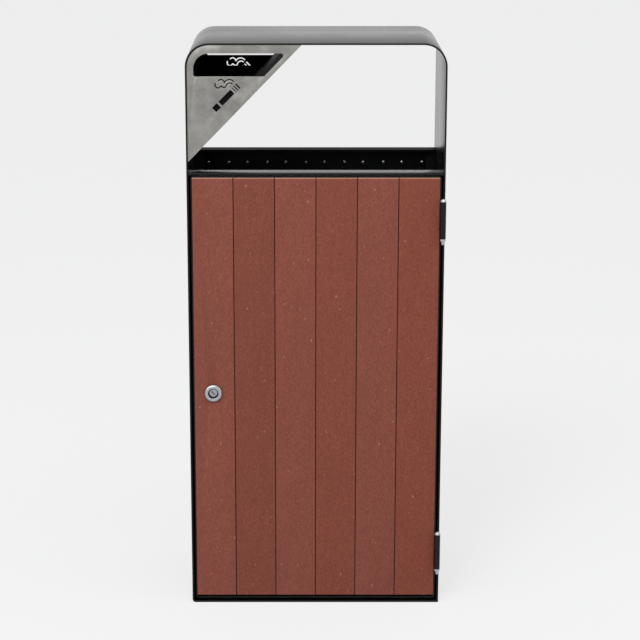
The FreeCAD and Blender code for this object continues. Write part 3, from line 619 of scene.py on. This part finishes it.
@dataclass
class PlankScrews:
    """The dome-head screws behind a row of planks, with hexagon sockets."""

    shop: Workshop
    panel: str
    body: str
    inward: float
    head_radius: float = 4.0 * MM
    head_height: float = 2.4 * MM
    socket_radius: float = 1.5 * MM
    socket_depth: float = 1.2 * MM
    rim_share: float = 0.3
    mouth_share: float = 1.25
    rings: int = 5
    sides: int = 24
    smooth_angle: float = math.radians(35)

    def places(self) -> list[Vector]:
        """Return the middle of each screw's seat, read from the CAD screws.

        Returns:
            One point per screw, on the tray's inner face.
        """
        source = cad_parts[f"{self.panel}_plank_screws"].data
        low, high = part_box(f"{self.panel}_plank_screws")
        mesh = bmesh.new()
        mesh.from_mesh(source)
        bmesh.ops.remove_doubles(mesh, verts=mesh.verts, dist=SAME_POINT)
        crown = high.y if self.inward > 0 else low.y
        tips = [v.co.copy() for v in mesh.verts if abs(v.co.y - crown) < 10 * SAME_POINT]
        mesh.free()
        kept: list[Vector] = []
        for tip in tips:
            if all((tip - other).length > self.head_radius for other in kept):
                kept.append(tip)
        return [tip - Vector((0, self.inward * self.head_height, 0)) for tip in kept]

    def head(self) -> bpy.types.Object:
        """Model one head at the origin, its crown towards +Z, and return it."""
        rim = self.rim_share * self.head_height
        dome = self.head_height - rim
        ball = (self.head_radius ** 2 + dome ** 2) / (2 * dome)
        mouth = self.mouth_share * self.socket_radius
        bpy.ops.object.select_all(action="DESELECT")
        bpy.ops.mesh.primitive_cylinder_add(vertices=self.sides, radius=self.head_radius, depth=rim,
                                            end_fill_type="NGON", location=(0, 0, rim / 2))
        head = bpy.context.object
        bpy.ops.object.mode_set(mode="EDIT")
        bpy.ops.mesh.select_mode(type="FACE")
        reach, rise = self.head_radius, rim
        for ring in range(1, self.rings + 1):
            radius = self.head_radius + (mouth - self.head_radius) * ring / self.rings
            height = self.head_height - ball + math.sqrt(ball ** 2 - radius ** 2)
            self.pick_top(head)
            bpy.ops.mesh.inset(thickness=reach - radius, use_even_offset=False)
            bpy.ops.transform.translate(value=(0, 0, height - rise))
            reach, rise = radius, height
        self.pick_top(head)
        bpy.ops.mesh.inset(thickness=reach - self.socket_radius, use_even_offset=False)
        bpy.ops.mesh.extrude_region_move(TRANSFORM_OT_translate={"value": (0, 0, -self.socket_depth)})
        bpy.ops.object.mode_set(mode="OBJECT")
        bpy.ops.object.shade_smooth_by_angle(angle=self.smooth_angle)
        return head

    @staticmethod
    def pick_top(piece: bpy.types.Object) -> None:
        """Select only the face that lies highest."""
        mesh = bmesh.from_edit_mesh(piece.data)
        for face in mesh.faces:
            face.select_set(False)
        top = max(mesh.faces, key=lambda f: (round(f.calc_center_median().z, 7), len(f.verts)))
        top.select_set(True)
        bmesh.update_edit_mesh(piece.data)

    def build(self) -> None:
        """Model one head and set a copy of it at every screw."""
        first = self.head()
        heads = []
        for seat in self.places():
            copy = first.copy()
            copy.data = first.data.copy()
            bpy.context.scene.collection.objects.link(copy)
            copy.rotation_euler = (-self.inward * math.pi / 2, 0, 0)
            copy.location = seat
            heads.append(copy)
        bpy.data.objects.remove(first)
        bpy.ops.object.select_all(action="DESELECT")
        for head in heads:
            head.select_set(True)
        bpy.context.view_layer.objects.active = heads[0]
        bpy.ops.object.join()
        piece = bpy.context.object
        bpy.ops.object.transform_apply(location=True, rotation=True, scale=True)
        piece.name = f"{self.panel}_screw_heads"
        self.shop.dress(piece, Finish.BLACK_ZINC)
        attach(piece, self.body)
        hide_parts(f"{self.panel}_plank_screws")
        log.info("%s: %d screws", piece.name, len(heads))


@dataclass
class DoorHinges:
    """Both bolt hinges: a post knuckle and a door knuckle on one bolt, with its nut."""

    shop: Workshop
    places: tuple[str, ...] = ("upper", "lower")
    edge: float = 0.3 * MM

    def build(self) -> None:
        """Show the knuckles, bolts and nuts."""
        for place in self.places:
            self.shop.eased(f"{place}_hinge_post", "frame", Finish.COAT, "black_coat", self.edge)
            self.shop.eased(f"{place}_hinge_door_knuckle", "door", Finish.COAT, "black_coat", self.edge)
            self.shop.eased(f"{place}_hinge_bolt", "frame", Finish.ZINC, "bright_chrome", self.edge)
            self.shop.eased(f"{place}_hinge_nut", "frame", Finish.ZINC, "bright_chrome", self.edge)


@dataclass
class CamLock:
    """The cam lock in the door."""

    shop: Workshop
    edge: float = 0.25 * MM
    recess_radius: float = 9.0 * MM

    def build(self) -> None:
        """Show the lock's bright pieces and its plated inner ones."""
        low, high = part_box("lock_body")
        axis = ((low.x + high.x) / 2, (low.z + high.z) / 2)
        bezel = LockFinish("lock_bezel_chrome", axis, self.recess_radius, (high.x - low.x) / 2)
        self.shop.eased("lock_body", "door", bezel, "bright_chrome", self.edge)
        self.shop.eased("lock_plug", "lock", Finish.CHROME, "bright_chrome", self.edge)
        self.shop.eased("lock_nut", "door", Finish.ZINC, "zinc_fastener", self.edge)
        self.shop.eased("lock_cam", "lock", Finish.ZINC, "zinc_fastener", self.edge)
        self.shop.eased("lock_cam_screw", "lock", Finish.ZINC, "zinc_fastener", self.edge)


@dataclass
class AshUnit:
    """The corner plates, the slanted flap and the pan behind it."""

    shop: Workshop
    plate_edge: float = 0.45 * MM
    sheet_edge: float = 0.3 * MM
    skin: float = 0.05 * MM

    def build(self) -> None:
        """Show the plates, flap, pan and small parts of the ash unit."""
        inner_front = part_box("front_ash_plate")[1].y - self.skin
        inner_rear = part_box("rear_ash_plate")[0].y + self.skin
        for node, inner, front in (("front_ash_plate", inner_front, True),
                                   ("rear_ash_plate", inner_rear, False)):
            finish = PlateFinish(f"{node}_steel", inner, front)
            self.shop.eased(node, "frame", finish, "stainless_plate", self.plate_edge, 2)
        # The flap, pan and ears sit inside the bin: their darker coat is painted shade
        self.shop.eased("ash_flap", "ash_flap", Finish.SHADE_DARKENED_COAT, "black_coat", self.sheet_edge)
        self.shop.eased("ash_pan", "ash_pan", Finish.SHADE_DARKENED_COAT, "black_coat", self.sheet_edge)
        self.shop.eased("ash_hinge_ears", "frame", Finish.SHADE_DARKENED_COAT, "black_coat", self.sheet_edge)
        for node in ("ash_hinge_rod", "ash_rod_caps"):
            self.shop.eased(node, "frame", Finish.ZINC, "zinc_fastener", self.sheet_edge)
        self.shop.eased("ash_pan_studs", "ash_flap", Finish.ZINC, "zinc_fastener", self.sheet_edge)
        self.shop.eased("ash_flap_catch", "frame", Finish.MAGNET, "magnet", self.sheet_edge)


@dataclass
class Liner:
    """The lift-out liner."""

    shop: Workshop
    edge: float = 0.4 * MM

    def build(self) -> None:
        """Show the liner."""
        self.shop.eased("liner_bucket", "liner", Finish.ZINC_SHEET, "galvanised_sheet", self.edge)


def looked_at(tree: bpy.types.NodeTree) -> bpy.types.NodeSocket:
    """Add nodes that tell rays that look at a shader from rays that only gather its light.

    Args:
        tree: the node tree that they are added to.

    Returns:
        A socket that is 1 for camera, glossy and transmission rays, and 0 for the rest.
    """
    path = tree.nodes.new("ShaderNodeLightPath")
    seen = path.outputs["Is Camera Ray"]
    for ray in ("Is Glossy Ray", "Is Transmission Ray"):
        either = tree.nodes.new("ShaderNodeMath")
        either.operation = "MAXIMUM"
        tree.links.new(seen, either.inputs[0])
        tree.links.new(path.outputs[ray], either.inputs[1])
        seen = either.outputs["Value"]
    return seen


@dataclass(frozen=True)
class SoftBox:
    """A square lamp that faces the bin."""

    name: str
    place: tuple[float, float, float]
    size: float
    power: float
    tint: tuple[float, float, float]

    def hang(self, aim: Vector) -> None:
        """Hang the lamp, turned towards aim."""
        light = bpy.data.lights.new(self.name, "AREA")
        light.shape = "SQUARE"
        light.size = self.size
        light.energy = self.power
        light.color = self.tint
        lamp = bpy.data.objects.new(self.name, light)
        lamp.location = self.place
        lamp.rotation_euler = (aim - Vector(self.place)).to_track_quat("-Z", "Y").to_euler()
        bpy.context.scene.collection.objects.link(lamp)


@dataclass
class Studio:
    """The pale floor, the soft lights and the camera."""

    floor_size: float = 60.0
    floor_tone: float = 0.62
    dust_tone: float = 0.59
    dust_scale: float = 2.0
    dust_share: float = 0.08
    floor_glow: float = 0.95
    floor_share: float = 0.75
    world_tint: Colour = shade(0.97, 0.985, 1.0)
    world_level: float = 0.62
    pale: float = 0.885
    sun_power: float = 1.3
    sun_spread: float = math.radians(22)
    sun_turn: tuple[float, float, float] = (math.radians(48), 0.0, math.radians(-24))
    boxes: tuple[SoftBox, ...] = (
        SoftBox("left_box", (-2.6, -2.2, 2.4), 1.6, 34.0, (1.0, 0.985, 0.96)),
        SoftBox("right_box", (2.4, -1.2, 2.0), 1.2, 16.0, (0.95, 0.98, 1.0)),
        SoftBox("top_box", (0.0, -1.5, 3.2), 1.5, 26.0, (0.96, 0.985, 1.0)))
    aim_height: float = 0.55
    camera_place: tuple[float, float, float] = (-0.0215, -3.469, 1.398)
    camera_pitch: float = math.radians(14.69)
    camera_shift: tuple[float, float] = (0.026, 0.0005)
    camera_reach: float = 200.0
    lens: float = 112.39
    sensor: float = 36.0

    def floor(self) -> None:
        """Lay the floor, which keeps the bin's shadow over its own pale colour."""
        bpy.ops.object.select_all(action="DESELECT")
        bpy.ops.mesh.primitive_plane_add(size=self.floor_size, location=(0, 0, 0))
        floor = bpy.context.object
        floor.name = "studio_floor"
        r = Recipe("pale_floor")
        dust = r.noise(r.place, self.dust_scale, 4.0)
        colour = r.mixed(r.level(dust, 0.0, self.dust_share), grey(self.floor_tone), grey(self.dust_tone))
        matt = r.node("ShaderNodeBsdfDiffuse", {"Color": colour}).outputs["BSDF"]
        glow = r.node("ShaderNodeEmission", {"Color": grey(1.0), "Strength": self.floor_glow})
        share = r.node("ShaderNodeMath", {0: looked_at(r.tree), 1: self.floor_share}, operation="MULTIPLY")
        shown = r.node("ShaderNodeMixShader", {0: share.outputs["Value"], 1: matt,
                                               2: glow.outputs["Emission"]})
        floor.data.materials.append(r.finished(shown.outputs["Shader"]))

    @staticmethod
    def background(tree: bpy.types.NodeTree, colour: Colour, level: float) -> bpy.types.NodeSocket:
        """Add an even background and return its shader."""
        made = tree.nodes.new("ShaderNodeBackground")
        made.inputs["Color"].default_value = colour
        made.inputs["Strength"].default_value = level
        return made.outputs["Background"]

    def world(self) -> None:
        """Fill the room with an even soft light that is pale where it is seen."""
        world = bpy.data.worlds.new("studio")
        bpy.context.scene.world = world
        world.use_nodes = True
        tree = world.node_tree
        tree.nodes.clear()
        output = tree.nodes.new("ShaderNodeOutputWorld")
        mix = tree.nodes.new("ShaderNodeMixShader")
        tree.links.new(looked_at(tree), mix.inputs[0])
        tree.links.new(self.background(tree, self.world_tint, self.world_level), mix.inputs[1])
        tree.links.new(self.background(tree, grey(1.0), self.pale), mix.inputs[2])
        tree.links.new(mix.outputs["Shader"], output.inputs["Surface"])

    def lamps(self) -> None:
        """Hang the key sun and the soft boxes."""
        sun = bpy.data.lights.new("key", "SUN")
        sun.energy = self.sun_power
        sun.angle = self.sun_spread
        lamp = bpy.data.objects.new("key", sun)
        lamp.rotation_euler = self.sun_turn
        bpy.context.scene.collection.objects.link(lamp)
        for box in self.boxes:
            box.hang(Vector((0, 0, self.aim_height)))

    def camera(self) -> None:
        """Stand the camera a little above the bin, square to its front, with its view shifted aside."""
        data = bpy.data.cameras.new("camera")
        data.sensor_width = self.sensor
        data.lens = self.lens
        data.clip_end = self.camera_reach
        data.shift_x, data.shift_y = self.camera_shift
        camera = bpy.data.objects.new("camera", data)
        camera.location = self.camera_place
        camera.rotation_euler = (math.pi / 2 - self.camera_pitch, 0, 0)
        bpy.context.scene.collection.objects.link(camera)
        bpy.context.scene.camera = camera

    def build(self) -> None:
        """Set up the whole studio."""
        bpy.context.scene.view_settings.view_transform = "Standard"
        self.floor()
        self.world()
        self.lamps()
        self.camera()


def main() -> None:
    """Build every assembly in order, then the studio."""
    shop = Workshop()
    assemblies = (
        HoopFrame(shop),
        PlankPanel(shop, "door", "door", DOOR_TONES),
        PlankPanel(shop, "rear", "frame", DOOR_TONES[::-1], seed=4.0),
        PlankScrews(shop, "rear", "frame", -1.0),
        PlankScrews(shop, "door", "door", 1.0),
        DoorHinges(shop),
        CamLock(shop),
        AshUnit(shop),
        Liner(shop),
    )
    for assembly in assemblies:
        log.info("building %s", type(assembly).__name__)
        assembly.build()
    Studio().build()


if __name__ == "__main__":
    main()
